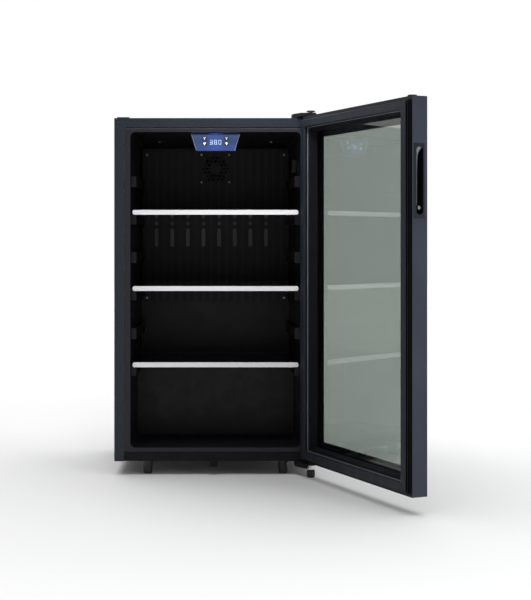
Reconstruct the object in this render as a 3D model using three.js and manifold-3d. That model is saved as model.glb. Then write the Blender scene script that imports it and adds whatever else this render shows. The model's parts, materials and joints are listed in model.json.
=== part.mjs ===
// A free-standing glass-door mini fridge (beverage cooler), door open, in millimetres, +Z up.
// While a piece is drawn, x = 0 is the cabinet's middle, y = 0 its front face (+y to the back) and
// z = 0 the floor. The finished group is moved so that the origin is the middle of the footprint.
import * as THREE from "three";
import { mergeVertices } from "three/addons/utils/BufferGeometryUtils.js";
import Module from "manifold-3d";

const wasm = await Module();
wasm.setup();

// ---------------------------------------------------------------- driving dimensions
const GAP = 0.3; // clearance between pieces that touch
const SHEET = 0.8; // steel sheet
const CABINET = { half: 240, depth: 392, bottom: 32.6, top: 846 };
const BAND = { side: 23.3, top: 21.7 }; // painted front returns round the liner
const FRONT_BEAM = { y0: 2, y1: 14, z0: 32.9, z1: 54.7, sheet: 1.2 };
const BACK_RECESS = 2.5; // the back panel sits inside the edges of the sides
const BASE = { y0: 16, z0: 33, z1: 34.5 };
const BAY = { y: 240, z: 218 }; // front wall and ceiling of the compressor bay
const OPENING = { half: 202, z0: 64.5, z1: 813.2, radius: 12 };
const LINER = { depth: 345, wall: 2.2, flangeY: 1, flange: 1.5, narrowing: 8, ceilingDrop: 14 };
const STEP = { y: 210, z: 246 }; // the liner's step over the compressor bay
const RIB = { proud: 12, height: 26, y0: 25, y1: 300 };
const SHELF = { lowest: 254.6, pitch: 181.3, count: 3, half: 197, trim: 11.3, pane: 4 };
const SHELF_Y = { front: 8, wall: 14, ledge: 22, back: 305 };
const PANE_HALF = 191; // half the width of a shelf pane
const PANE_LIFT = 3.5; // underside of a shelf pane above the underside of its trim
const DUCT = { half: 191, z0: 396, z1: 793, y: 325, wall: 2.5, back: 344.5 };
const FAN = { z: 745, y0: 328.5, y1: 343.5, side: 80, bore: 38, hub: 13, blade: 36 };
const DISPLAY = { y: 30, z0: 770.4, z1: 811, half0: 46.4, half1: 58.5, panel: 2.2, depth: 50 };
const KEY = { x: 26.3, low: 787, high: 799.8, width: 9, height: 8, clearance: 0.3 };
const DOOR = { x0: -239, x1: 238, z0: 36.4, z1: 847.1 };
const CONDENSER = { y0: 383, y1: 388 };
const COMPRESSOR = { x: -30, y: 315, radius: 58, stretch: 1.2, plateX: 92, plateY: 48, z: 48 };
const TRAY = { x0: -100, x1: 40, y0: 252, y1: 380, z0: 186, z1: 206, wall: 2 };
const HINGE = { x: 224, y: -26, pin: 4, bush: 6.8 };
const HINGE_Z = { plate0: 848.3, plate1: 851.4, boss1: 857, flange0: 21, bracket0: 28.9, bracket1: 32.2 };
const DOOR_OPEN = THREE.MathUtils.degToRad(113.5);
const HANDLE = { z0: 599.9, z1: 751, y0: -40.6, y1: -16, depth: 21.4 };
const SLOT = { y: -30.25, half: 8.25, z0: 607, z1: 745 }; // finger slot in the handle insert
const FOOT = { x: 161.5, front: 28, rear: 362, stud: 4 };
const ORIGIN = { x: 94.4, y: -32.2 }; // middle of the footprint with the door open

// Sections of the door's four sides: [distance in from the door's edge, y].
const OUTER_PANE = { inset: 11.8, y0: -47.9, y1: -43.9 };
const INNER_PANE = { inset: 31.4, y0: -36.4, y1: -32.4 };
const FRAME_SECTION = [
  [0, -48], [11.5, -48], [11.5, -43.6], [31, -43.6], [31, -12],
  [19, -12], [19, -17], [15, -17], [15, -12], [0, -12],
];
const SPACER_SECTION = [[34.5, -43.6], [42, -43.6], [42, -36.7], [34.5, -36.7]];
const TRIM_SECTION = [[31.3, -32.1], [37, -32.1], [37, -31], [33, -12.3], [31.3, -12.3]];
const GASKET_SECTION = [
  [5.5, -11.7], [15.3, -11.7], [15.3, -16.6], [18.7, -16.6], [18.7, -11.7], [28, -11.7], [28, -9.6],
  [26, -8.8], [26, -7.6], [27.6, -6.8], [27.2, -1.6], [25.8, -0.7], [10.5, -0.7], [9, -2],
  [8.4, -6.6], [6, -8.6],
];

// ---------------------------------------------------------------- finishes
const FINISH = {
  shell: { color: 0x2a2e36, roughness: 0.5, metalness: 0.3 },
  black: { color: 0x0d0d10, roughness: 0.35, metalness: 0 },
  matte: { color: 0x1a1a1e, roughness: 0.7, metalness: 0 },
  doorFrame: { color: 0x3d424d, roughness: 0.5, metalness: 0 },
  gasket: { color: 0x2b3039, roughness: 0.8, metalness: 0 },
  glass: { color: 0xdfe6e4, roughness: 0.05, metalness: 0 },
  silver: { color: 0xd8d6d9, roughness: 0.35, metalness: 0.6 },
  zinc: { color: 0xb9b9bd, roughness: 0.35, metalness: 0.9 },
  grey: { color: 0x55585f, roughness: 0.4, metalness: 0.8 },
  blue: { color: 0x4a63a0, roughness: 0.3, metalness: 0 },
  foam: { color: 0xe8dfb0, roughness: 0.9, metalness: 0 },
  copper: { color: 0xb87353, roughness: 0.35, metalness: 0.9 },
  board: { color: 0x1f5a34, roughness: 0.6, metalness: 0 },
};

// ---------------------------------------------------------------- geometry helpers
function toSolid(geometry) {
  const bare = geometry.clone();
  bare.deleteAttribute("normal");
  bare.deleteAttribute("uv");
  const merged = mergeVertices(bare, 1e-4);
  const vertProperties = merged.attributes.position.array;
  const triVerts = new Uint32Array(merged.index.array);
  return new wasm.Manifold(new wasm.Mesh({ numProp: 3, vertProperties, triVerts }));
}

function toGeometry(solid) {
  const mesh = solid.getMesh();
  const geometry = new THREE.BufferGeometry();
  geometry.setAttribute("position", new THREE.BufferAttribute(mesh.vertProperties, 3));
  geometry.setIndex(new THREE.BufferAttribute(mesh.triVerts, 1));
  return geometry;
}

function join(...parts) {
  return toGeometry(parts.map(toSolid).reduce((a, b) => a.add(b)));
}

function cut(body, ...tools) {
  return toGeometry(tools.map(toSolid).reduce((a, b) => a.subtract(b), toSolid(body)));
}

function block(x0, x1, y0, y1, z0, z1) {
  const box = new THREE.BoxGeometry(x1 - x0, y1 - y0, z1 - z0);
  return box.translate((x0 + x1) / 2, (y0 + y1) / 2, (z0 + z1) / 2);
}

const outline = (points) => new THREE.Shape(points.map(([a, b]) => new THREE.Vector2(a, b)));

function roundedRect(a0, a1, b0, b1, r) {
  const shape = new THREE.Shape();
  shape.absarc(a1 - r, b0 + r, r, -Math.PI / 2, 0);
  shape.absarc(a1 - r, b1 - r, r, 0, Math.PI / 2);
  shape.absarc(a0 + r, b1 - r, r, Math.PI / 2, Math.PI);
  shape.absarc(a0 + r, b0 + r, r, Math.PI, 1.5 * Math.PI);
  return shape;
}

// A shape drawn in two of the axes and extruded along the third.
function extrude(shape, basis, start, end, curveSegments = 4) {
  const options = { depth: end - start, bevelEnabled: false, curveSegments };
  const geometry = new THREE.ExtrudeGeometry(shape, options);
  return geometry.translate(0, 0, start).applyMatrix4(new THREE.Matrix4().makeBasis(...basis));
}
const X = new THREE.Vector3(1, 0, 0);
const Y = new THREE.Vector3(0, 1, 0);
const Z = new THREE.Vector3(0, 0, 1);
const alongX = (shape, x0, x1, segments) => extrude(shape, [Y, Z, X], x0, x1, segments);
const alongY = (shape, y0, y1, segments) => extrude(shape, [X, Z, Y.clone().negate()], -y1, -y0, segments);
const alongZ = (shape, z0, z1, segments) => extrude(shape, [X, Y, Z], z0, z1, segments);

// A solid of revolution round a vertical axis, from a profile of [radius, height] from foot to top.
function turned(profile, x = 0, y = 0, segments = 20) {
  const points = profile.map(([r, h]) => new THREE.Vector2(r, h));
  return new THREE.LatheGeometry(points, segments).rotateX(Math.PI / 2).translate(x, y, 0);
}

function rod(r, x, y, z0, z1, segments = 20) {
  return turned([[0, z0], [r, z0], [r, z1], [0, z1]], x, y, segments);
}

// A round bar along y, for holes and shafts that face the front.
function bore(r, x, z, y0, y1, segments) {
  return new THREE.CylinderGeometry(r, r, y1 - y0, segments).translate(x, (y0 + y1) / 2, z);
}

// A closed strip of the given width along an open line of [a, b] points.
function strip(line, width) {
  const points = line.map(([a, b]) => new THREE.Vector2(a, b));
  const side = (sign) => points.map((p, i) => {
    const before = points[Math.max(i - 1, 0)];
    const after = points[Math.min(i + 1, points.length - 1)];
    const along = after.clone().sub(before).normalize();
    return new THREE.Vector2(-along.y, along.x).multiplyScalar((sign * width) / 2).add(p);
  });
  return new THREE.Shape([...side(-1), ...side(1).reverse()]);
}

// Level runs joined by half-round bends.
function serpentine(half, z0, pitch, runs, bendSteps = 6) {
  const line = [];
  for (let run = 0; run < runs; run++) {
    const z = z0 + run * pitch;
    const way = run % 2 ? -1 : 1;
    line.push([-way * half, z]);
    if (run === runs - 1) line.push([way * half, z]);
    for (let i = 0; i < bendSteps && run < runs - 1; i++) {
      const angle = -Math.PI / 2 + (i * Math.PI) / bendSteps;
      const radius = pitch / 2;
      line.push([way * (half + radius * Math.cos(angle)), z + radius + radius * Math.sin(angle)]);
    }
  }
  return line;
}

// The liner's walls close in and its ceiling falls towards the back.
function taper(geometry, ceilingDrop = LINER.ceilingDrop) {
  const p = geometry.attributes.position;
  for (let i = 0; i < p.count; i++) {
    const back = Math.max(p.getY(i), 0) / LINER.depth;
    const up = (p.getZ(i) - OPENING.z0) / (OPENING.z1 - OPENING.z0);
    p.setX(i, p.getX(i) * (1 - (LINER.narrowing / OPENING.half) * back));
    p.setZ(i, p.getZ(i) - ceilingDrop * up * back);
  }
  return geometry;
}

// The cold space grown by an offset on every side, from a front plane at y0.
function coldSpace(offset, y0) {
  const side = OPENING.half + offset;
  const shape = roundedRect(-side, side, OPENING.z0 - offset, OPENING.z1 + offset, OPENING.radius + offset);
  const space = taper(alongY(shape, y0, LINER.depth + offset));
  return cut(space, block(-300, 300, STEP.y + offset, 500, 0, STEP.z - offset));
}

// A frame of four mitred sides round a rectangle, or one of its sides. A section point is
// [distance in from the rectangle's edge, y]; side 0 is the bottom, 1 right, 2 top and 3 left.
function corner(rect, index, inset) {
  const k = index % 4;
  const x = k === 0 || k === 3 ? rect.x0 + inset : rect.x1 - inset;
  const z = k < 2 ? rect.z0 + inset : rect.z1 - inset;
  return [x, z];
}

function mitred(section, rect, side = null) {
  const n = section.length;
  const whole = side === null;
  const corners = whole ? [0, 1, 2, 3] : [side, side + 1];
  const vertices = [];
  corners.forEach((c, i) => {
    const shift = whole ? 0 : (i === 0 ? GAP : -GAP) / 2;
    const alongEdge = [[1, 0], [0, 1], [-1, 0], [0, -1]][side ?? 0];
    for (const [inset, y] of section) {
      const [x, z] = corner(rect, c, inset);
      vertices.push(x + shift * alongEdge[0], y, z + shift * alongEdge[1]);
    }
  });
  const faces = [];
  const spans = whole ? 4 : 1;
  for (let s = 0; s < spans; s++) {
    const a = s * n;
    const b = ((s + 1) % corners.length) * n;
    for (let i = 0; i < n; i++) {
      const j = (i + 1) % n;
      faces.push(a + i, b + i, b + j, a + i, b + j, a + j);
    }
  }
  if (!whole) {
    const flat = section.map(([u, y]) => new THREE.Vector2(u, y));
    for (const [i, j, k] of THREE.ShapeUtils.triangulateShape(flat, [])) {
      faces.push(i, j, k, n + i, n + k, n + j);
    }
  }
  const geometry = new THREE.BufferGeometry();
  geometry.setAttribute("position", new THREE.Float32BufferAttribute(vertices, 3));
  return geometry.setIndex(faces);
}

// ---------------------------------------------------------------- the scene graph
const fridge = new THREE.Group();
const cabinet = new THREE.Group();
const door = new THREE.Group();
fridge.add(cabinet, door);
fridge.position.set(-ORIGIN.x, -ORIGIN.y, 0);
door.position.set(HINGE.x, HINGE.y, 0);
door.rotation.z = DOOR_OPEN;

function place(group, name, geometry, finish) {
  const mesh = new THREE.Mesh(geometry, new THREE.MeshStandardMaterial(FINISH[finish]));
  mesh.name = name;
  if (group === door) mesh.position.set(-HINGE.x, -HINGE.y, 0); // door pieces are drawn with the door shut
  group.add(mesh);
}

// ---------------------------------------------------------------- cabinet shell
function buildShell() {
  const { half, depth, bottom, top } = CABINET;
  const bandInner = half - BAND.side;
  const bandUnder = top - BAND.top;
  for (const [name, way] of [["left_side_panel", -1], ["right_side_panel", 1]]) {
    const xs = [way * half, way * (half - SHEET)].sort((a, b) => a - b);
    const side = block(...xs, 0, depth, bottom, top);
    const corners = [[half, bottom], [bandInner, bottom], [bandInner, bandUnder - GAP], [half, top - GAP]];
    const band = alongY(outline(corners.map(([x, z]) => [way * x, z])), 0, SHEET);
    place(cabinet, name, join(side, band), "shell");
  }
  const inner = half - SHEET - GAP;
  const roof = block(-inner, inner, 0, depth, top - SHEET, top);
  const lintel = outline([[-inner, top], [-bandInner, bandUnder], [bandInner, bandUnder], [inner, top]]);
  place(cabinet, "top_panel", join(roof, alongY(lintel, 0, SHEET)), "shell");

  const back = depth - BACK_RECESS;
  const foldedBack = outline([
    [back, top - SHEET - GAP], [back - SHEET, top - SHEET - GAP], [back - SHEET, BAY.z + SHEET],
    [BAY.y - SHEET, BAY.z + SHEET], [BAY.y - SHEET, BASE.z1 + 0.5], [BAY.y, BASE.z1 + 0.5],
    [BAY.y, BAY.z], [back, BAY.z],
  ]);
  place(cabinet, "back_panel", alongX(foldedBack, -inner, inner), "shell");

  const studHoles = [];
  for (const x of [-FOOT.x, FOOT.x]) {
    for (const y of [FOOT.front, FOOT.rear]) studHoles.push(rod(FOOT.stud + 0.5, x, y, 20, 50, 12));
  }
  const base = block(-inner, inner, BASE.y0, back, BASE.z0, BASE.z1);
  place(cabinet, "base_plate", cut(base, ...studHoles), "grey");

  const { y0, y1, z0, z1, sheet } = FRONT_BEAM;
  const channel = outline([
    [y0, z0], [y1, z0], [y1, z0 + sheet], [y0 + sheet, z0 + sheet],
    [y0 + sheet, z1 - sheet], [y1, z1 - sheet], [y1, z1], [y0, z1],
  ]);
  place(cabinet, "front_beam", alongX(channel, -bandInner + GAP, bandInner - GAP), "black");
  const clip = join(block(-12.4, 4.5, -1.5, 1.7, 20.3, 38.8), block(-12.4, 4.5, 1, 12, 20.3, 32.5));
  place(cabinet, "beam_clip", clip, "matte");
  const cap = alongZ(roundedRect(-234.4, -205, 9, 39, 4), top + GAP, top + 2.9);
  place(cabinet, "hinge_hole_cap", cap, "matte");
}

function buildInsulation() {
  const inner = CABINET.half - SHEET - GAP;
  const front = LINER.flangeY + LINER.flange + GAP;
  const slab = block(-inner, inner, front, CONDENSER.y0 - GAP, 44, CABINET.top - SHEET - GAP);
  const bay = block(-300, 300, BAY.y - SHEET - GAP, 500, 0, BAY.z + SHEET + GAP);
  const beamRoom = block(-300, 300, 0, BASE.y0, 0, FRONT_BEAM.z1 + 2);
  place(cabinet, "foam_insulation", cut(slab, coldSpace(LINER.wall + GAP, 0), bay, beamRoom), "foam");
}

function buildLiner() {
  const flangeHalf = CABINET.half - BAND.side - GAP;
  const { flangeY, flange, wall } = LINER;
  const ring = block(-flangeHalf, flangeHalf, flangeY, flangeY + flange, 55, CABINET.top - BAND.top - GAP);
  const shell = cut(join(coldSpace(wall, flangeY), ring), coldSpace(0, -1));
  const ribs = [];
  for (let i = 0; i < SHELF.count; i++) {
    const shelf = SHELF.lowest + i * SHELF.pitch;
    for (const top of [shelf + PANE_LIFT - GAP, shelf + 92]) {
      for (const way of [-1, 1]) {
        const xs = [way * (OPENING.half + 1), way * (OPENING.half - RIB.proud)].sort((a, b) => a - b);
        ribs.push(taper(block(...xs, RIB.y0, RIB.y1, top - RIB.height, top), 0));
      }
    }
  }
  const underStep = block(-300, 300, STEP.y + wall, 500, 0, STEP.z - wall);
  place(cabinet, "inner_liner", cut(join(shell, ...ribs), underStep), "black");
}

// ---------------------------------------------------------------- cold side
function buildDuctCover() {
  const { half, z0, z1, y, wall, back } = DUCT;
  const tray = join(
    block(-half, half, y, y + wall, z0, z1),
    block(-half, -half + wall, y, back, z0, z1),
    block(half - wall, half, y, back, z0, z1),
    block(-half, half, y, back, z0, z0 + wall),
  );
  const ribs = [];
  for (let x = -174; x <= 174.5; x += 20.5) {
    const top = Math.abs(x) < 50 ? FAN.z - 48 : z1 - 12;
    ribs.push(block(x - 1.4, x + 1.4, y - 1.2, y + 1, z0 + 26, top));
  }
  const holes = [];
  for (let column = 0; column < 8; column++) {
    const x = -154.3 + column * 40.95;
    for (const z of [600.6, 619]) holes.push(bore(5, x, z, y - 5, y + 5, 10));
    holes.push(alongY(roundedRect(x - 5, x + 5, 540, 588, 4.9), y - 5, y + 5, 2));
  }
  const cell = 10.6;
  for (let row = -3; row <= 3; row++) {
    for (let column = -4; column <= 4; column++) {
      const x = (column + (row % 2 ? 0.5 : 0)) * cell;
      const z = row * cell * 0.9;
      if (Math.hypot(x, z) < FAN.blade - 3) holes.push(bore(4.2, x, FAN.z + z, y - 5, y + 5, 6));
    }
  }
  place(cabinet, "duct_cover", cut(join(tray, ...ribs), ...holes), "matte");
}

function buildFan() {
  const { z, y0, y1, side, bore: boreRadius, hub, blade } = FAN;
  const body = block(-side / 2, side / 2, y0, y1, z - side / 2, z + side / 2);
  const strutY = y1 - 3;
  const struts = [0, 1, 2].map((i) =>
    block(-2.5, 2.5, strutY, y1, 0, boreRadius + 1).rotateY((i * 2 * Math.PI) / 3).translate(0, 0, z));
  const duct = cut(body, bore(boreRadius, 0, z, y0 - 1, y1 + 1, 24));
  place(cabinet, "fan_frame", join(duct, bore(hub, 0, z, strutY, y1, 16), ...struts), "matte");
  const blades = [];
  for (let i = 0; i < 7; i++) {
    const vane = block(-8, 8, -0.8, 0.8, hub - 2, blade).rotateZ(THREE.MathUtils.degToRad(32));
    blades.push(vane.rotateY((i * 2 * Math.PI) / 7).translate(0, y0 + 6.2, z));
  }
  place(cabinet, "fan_rotor", join(bore(hub, 0, z, y0 + 1, strutY - 0.6, 16), ...blades), "black");
}

function buildColdParts() {
  const coil = alongY(strip(serpentine(140, 425, 34, 8), 8), 336.2, 339);
  place(cabinet, "evaporator", join(block(-168, 168, 335, 336.6, 408, 690), coil), "silver");
  place(cabinet, "temperature_sensor", alongX(roundedRect(108, 132, 722, 756, 4), 188, 198.4, 3), "matte");
  const lens = new THREE.CylinderGeometry(1, 0.8, 1.6, 24).rotateX(Math.PI / 2).scale(17, 10, 1);
  place(cabinet, "lamp_lens", lens.translate(0, 16, OPENING.z1 - 2.3), "blue");
}

function buildDisplay() {
  const { y, z0, z1, half0, half1, panel, depth } = DISPLAY;
  const face = outline([[-half0, z0], [half0, z0], [half1, z1], [-half1, z1]]);
  const keys = [
    ["left_up_key", -KEY.x, KEY.high], ["left_down_key", -KEY.x, KEY.low],
    ["right_up_key", KEY.x, KEY.high], ["right_down_key", KEY.x, KEY.low],
  ];
  const keyBlock = (x, z, ya, yb, grow) => {
    const w = KEY.width / 2 + grow;
    const h = KEY.height / 2 + grow;
    return block(x - w, x + w, ya, yb, z - h, z + h);
  };
  const windows = keys.map(([, x, z]) => keyBlock(x, z, y - 1, y + panel + 1, KEY.clearance));
  place(cabinet, "display_panel", cut(alongY(face, y, y + panel), ...windows), "blue");
  for (const [name, x, z] of keys) place(cabinet, name, keyBlock(x, z, y - 1, y + 4, 0), "blue");

  const trapezoid = (inset) => outline([
    [-half0 + inset, z0 + 0.6 + inset], [half0 - inset, z0 + 0.6 + inset],
    [half1 - 1 - inset, z1 - 1.6 - inset], [-half1 + 1 + inset, z1 - 1.6 - inset],
  ]);
  const start = y + panel + GAP;
  const shell = alongY(trapezoid(0), start, y + depth);
  const hollow = alongY(trapezoid(2), start - 1, y + depth - 2);
  place(cabinet, "display_housing", cut(shell, hollow), "matte");
  place(cabinet, "control_board", block(-41, 41, y + 6, y + 7.6, z0 + 5, z1 - 7), "board");
}

// ---------------------------------------------------------------- shelves
function buildShelves() {
  const names = ["lower", "middle", "upper"];
  for (let i = 0; i < SHELF.count; i++) {
    const z = SHELF.lowest + i * SHELF.pitch;
    const paneZ = z + PANE_LIFT;
    const { front, wall, ledge, back } = SHELF_Y;
    const pane = block(-PANE_HALF, PANE_HALF, wall + GAP, back, paneZ, paneZ + SHELF.pane);
    place(cabinet, names[i] + "_shelf_pane", pane, "glass");
    const face = roundedRect(-SHELF.half, SHELF.half, z, z + SHELF.trim, 4);
    const underPane = block(-PANE_HALF, PANE_HALF, wall - 1, ledge, z + 1, paneZ - GAP);
    place(cabinet, names[i] + "_shelf_trim", join(alongY(face, front, wall), underPane), "silver");
  }
}

// ---------------------------------------------------------------- compressor bay
function buildBay() {
  const { x, y, radius, stretch, plateX, plateY, z } = COMPRESSOR;
  const can = turned([
    [0, 50], [36, 51], [54, 62], [radius, 80], [radius, 150], [53, 168], [36, 178], [0, 180],
  ], 0, 0, 24).scale(stretch, 1, 1).translate(x, y, 0);
  const plate = block(x - plateX, x + plateX, y - plateY, y + plateY, z, z + 3);
  const legs = [];
  for (const dx of [-80, 80]) {
    for (const dy of [-36, 36]) legs.push(rod(8, x + dx, y + dy, BASE.z1 + GAP, z + 1, 12));
  }
  place(cabinet, "compressor", join(can, plate, ...legs), "matte");
  place(cabinet, "terminal_cover", block(x - 100, x - 70.5, y - 26, y + 26, 80, 150), "black");

  const pipe = (points, r) => {
    const section = new THREE.Shape().absarc(0, 0, r, 0, 2 * Math.PI);
    const extrudePath = new THREE.CatmullRomCurve3(points.map((p) => new THREE.Vector3(...p)));
    return new THREE.ExtrudeGeometry(section, { extrudePath, steps: 22, curveSegments: 4 });
  };
  const start = x + radius * stretch + 0.9;
  const end = BAY.z - 0.5;
  const discharge = [[start, 330, 120], [80, 335, 122], [105, 350, 130], [112, 355, 165], [112, 355, end]];
  place(cabinet, "discharge_pipe", pipe(discharge, 3), "copper");
  const suction = [[start, 300, 100], [90, 298, 98], [140, 290, 105], [150, 285, 150], [150, 280, end]];
  place(cabinet, "suction_pipe", pipe(suction, 4), "copper");
  const drier = [[0, 62], [1.5, 62], [1.5, 80], [9, 88], [9, 178], [3, 188], [3, end], [0, end]];
  place(cabinet, "filter_drier", turned(drier, 195, 345, 16), "copper");
  const coil = strip(serpentine(185, 262, 54, 11), 5);
  place(cabinet, "condenser_coil", alongY(coil, CONDENSER.y0, CONDENSER.y1), "black");
  const { x0, x1, y0, y1, z0, z1, wall } = TRAY;
  const basin = block(x0 + wall, x1 - wall, y0 + wall, y1 - wall, z0 + wall, z1 + wall);
  place(cabinet, "drip_tray", cut(block(x0, x1, y0, y1, z0, z1), basin), "matte");
  const gland = [[0, 196], [5, 196], [7, 210], [11, 210], [11, 217.7], [0, 217.7]];
  place(cabinet, "cord_gland", turned(gland, -190, 340, 16), "black");
}

// ---------------------------------------------------------------- feet and hinges
function buildFeet() {
  const profile = [
    [0, 0], [9.5, 0], [12.2, 27], [12.5, 30], [12.5, 32.3], [FOOT.stud, 32.3], [FOOT.stud, 42], [0, 42],
  ];
  for (const [row, y] of [["front", FOOT.front], ["rear", FOOT.rear]]) {
    for (const [side, x] of [["left", -FOOT.x], ["right", FOOT.x]]) {
      place(cabinet, `${row}_${side}_foot`, turned(profile, x, y), "black");
    }
  }
  const hingeFoot = [[0, 0], [9, 0], [10, 4], [10, 14], [8.5, 18.1], [0, 18.1]];
  place(cabinet, "hinge_foot", turned(hingeFoot, HINGE.x, HINGE.y), "black");
}

function buildHinges() {
  const { x, y, pin } = HINGE;
  const { plate0, plate1, boss1, flange0, bracket0, bracket1 } = HINGE_Z;
  const pinHole = (z0, z1) => rod(pin + GAP, x, y, z0, z1);
  const upperPlate = outline([[183, 60], [183, 16], [211, -37], [235, -37], [238, -28], [238, 60]]);
  const upperPad = outline([[183, 60], [183, 16], [190, 2], [238, 2], [238, 60]]);
  const boss = outline([[183, 60], [183, 18], [201, -14.5], [238, -14.5], [238, 60]]);
  const upper = join(
    alongZ(upperPlate, plate0, plate1),
    alongZ(upperPad, CABINET.top + GAP, plate0 + 0.7),
    alongZ(boss, plate1 - 1, boss1),
  );
  place(cabinet, "upper_hinge_bracket", cut(upper, pinHole(840, 860)), "black");
  const seat = plate1 + GAP;
  const head = [[0, 834.5], [pin, 834.5], [pin, seat], [10.4, seat], [10.4, 859], [9.2, 860.6], [0, 860.6]];
  place(cabinet, "upper_hinge_pin", turned(head, x, y), "grey");

  const lowerPlate = outline([[188, 45], [188, 0], [213, -38], [232, -38], [238, -30], [238, 45]]);
  const flange = outline([[188, 45], [188, 0], [213, -38], [215.5, -36.4], [191, 0.9], [191, 45]]);
  const lower = join(
    cut(alongZ(lowerPlate, bracket0, bracket1), pinHole(20, 40)),
    alongZ(flange, flange0, bracket0 + 1),
  );
  place(cabinet, "lower_hinge_bracket", lower, "black");
  place(cabinet, "lower_hinge_pin", rod(pin, x, y, 18.6, 51), "zinc");
  const hexagon = rod(11.6, x, y, 18.4, 28.6, 6);
  place(cabinet, "hinge_nut", cut(hexagon, pinHole(10, 40)), "zinc");

  place(door, "upper_hinge_bush", cut(rod(HINGE.bush, x, y, 834, 846.9), pinHole(830, 850)), "matte");
  const lowerBush = rod(HINGE.bush, x, y, DOOR.z0 + GAP, 51.5);
  place(door, "lower_hinge_bush", cut(lowerBush, pinHole(30, 60)), "matte");
}

// ---------------------------------------------------------------- door
function buildDoorFrame() {
  const { x, y, bush } = HINGE;
  const upperHole = rod(bush + GAP, x, y, 833.6, 860);
  const lowerHole = rod(bush + GAP, x, y, 20, 51.8);
  const capHole = rod(3.8, -225, -21, 839.5, 860, 12);
  const { z0, z1, y0, y1, depth } = HANDLE;
  const plateRecess = block(DOOR.x0 - 5, DOOR.x0 + 2, y0 - GAP, y1 + GAP, z0 - GAP, z1 + GAP);
  const recess = SLOT.half + 1.9;
  const [recess0, recess1] = [SLOT.y - recess, SLOT.y + recess];
  const cupRecess = block(DOOR.x0 - 5, DOOR.x0 + depth + 2, recess0, recess1, z0 + 4, z1 - 4);
  place(door, "bottom_rail", cut(mitred(FRAME_SECTION, DOOR, 0), lowerHole), "doorFrame");
  place(door, "hinge_stile", cut(mitred(FRAME_SECTION, DOOR, 1), upperHole, lowerHole), "doorFrame");
  place(door, "top_rail", cut(mitred(FRAME_SECTION, DOOR, 2), upperHole, capHole), "doorFrame");
  place(door, "handle_stile", cut(mitred(FRAME_SECTION, DOOR, 3), plateRecess, cupRecess), "doorFrame");

  const cupHalf = SLOT.half + 1.6;
  const cupShape = roundedRect(SLOT.y - cupHalf, SLOT.y + cupHalf, z0 + 5, z1 - 5, cupHalf - 0.1);
  const cup = alongX(cupShape, DOOR.x0 + 1, DOOR.x0 + depth + 1.5, 5);
  const plate = alongX(roundedRect(y0, y1, z0, z1, 3), DOOR.x0, DOOR.x0 + 1.5, 2);
  const slotShape = roundedRect(SLOT.y - SLOT.half, SLOT.y + SLOT.half, SLOT.z0, SLOT.z1, SLOT.half - 0.1);
  const hollow = alongX(slotShape, DOOR.x0 - 5, DOOR.x0 + depth, 5);
  place(door, "handle_insert", cut(join(plate, cup), hollow), "matte");
  const cap = [[0, 841], [3.2, 841], [3.2, 847.4], [9.5, 847.4], [9.5, 849], [8.4, 849.8], [0, 849.8]];
  place(door, "door_end_cap", turned(cap, -225, -21), "matte");
}

function buildDoorGlass() {
  const pane = ({ inset, y0, y1 }) => block(
    DOOR.x0 + inset, DOOR.x1 - inset, y0, y1, DOOR.z0 + inset, DOOR.z1 - inset);
  place(door, "outer_pane", pane(OUTER_PANE), "glass");
  place(door, "inner_pane", pane(INNER_PANE), "glass");
  place(door, "glass_spacer", mitred(SPACER_SECTION, DOOR), "black");
  place(door, "inner_trim", mitred(TRIM_SECTION, DOOR), "matte");
  place(door, "door_gasket", mitred(GASKET_SECTION, DOOR), "gasket");
}

buildShell();
buildInsulation();
buildLiner();
buildDuctCover();
buildFan();
buildColdParts();
buildDisplay();
buildShelves();
buildBay();
buildFeet();
buildHinges();
buildDoorFrame();
buildDoorGlass();

export default fridge;
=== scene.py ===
"""The looks of a glass-door mini fridge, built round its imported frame, in metres."""
import json
import math

import bmesh
import bpy
from mathutils import Matrix, Vector


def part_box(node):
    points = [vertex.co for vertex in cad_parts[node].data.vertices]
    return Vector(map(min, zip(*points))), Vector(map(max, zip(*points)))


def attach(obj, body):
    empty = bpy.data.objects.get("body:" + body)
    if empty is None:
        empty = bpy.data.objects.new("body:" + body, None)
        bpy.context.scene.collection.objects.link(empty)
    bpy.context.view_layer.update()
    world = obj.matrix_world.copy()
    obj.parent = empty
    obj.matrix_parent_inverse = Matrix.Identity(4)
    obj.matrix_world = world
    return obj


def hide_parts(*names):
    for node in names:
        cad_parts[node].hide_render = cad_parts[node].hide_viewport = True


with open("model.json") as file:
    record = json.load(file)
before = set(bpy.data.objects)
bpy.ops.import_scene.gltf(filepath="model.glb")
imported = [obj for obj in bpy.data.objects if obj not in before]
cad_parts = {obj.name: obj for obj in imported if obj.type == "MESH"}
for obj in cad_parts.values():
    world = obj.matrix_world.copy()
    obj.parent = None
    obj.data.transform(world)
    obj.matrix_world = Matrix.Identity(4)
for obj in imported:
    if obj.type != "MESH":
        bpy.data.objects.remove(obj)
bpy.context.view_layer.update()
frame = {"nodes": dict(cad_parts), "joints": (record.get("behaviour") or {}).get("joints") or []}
nodes = frame["nodes"]
scene = bpy.context.scene
MM = 0.001


# ---------------------------------------------------------------- where things are
def low(node):
    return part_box(node)[0]


def high(node):
    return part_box(node)[1]


def middle(node):
    return (low(node) + high(node)) / 2


hinge_joint = next(j for j in frame["joints"] if j["name"] == "door_hinge")
HINGE = Vector(hinge_joint["pos_m"])
OPEN_ANGLE = math.radians(-hinge_joint["range_deg"][0])
# Door pieces are drawn with the door shut and swung to the pose at rest by this matrix.
SWING = Matrix.Translation(HINGE) @ Matrix.Rotation(OPEN_ANGLE, 4, "Z") @ Matrix.Translation(-HINGE)
UNSWING = SWING.inverted()


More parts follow.
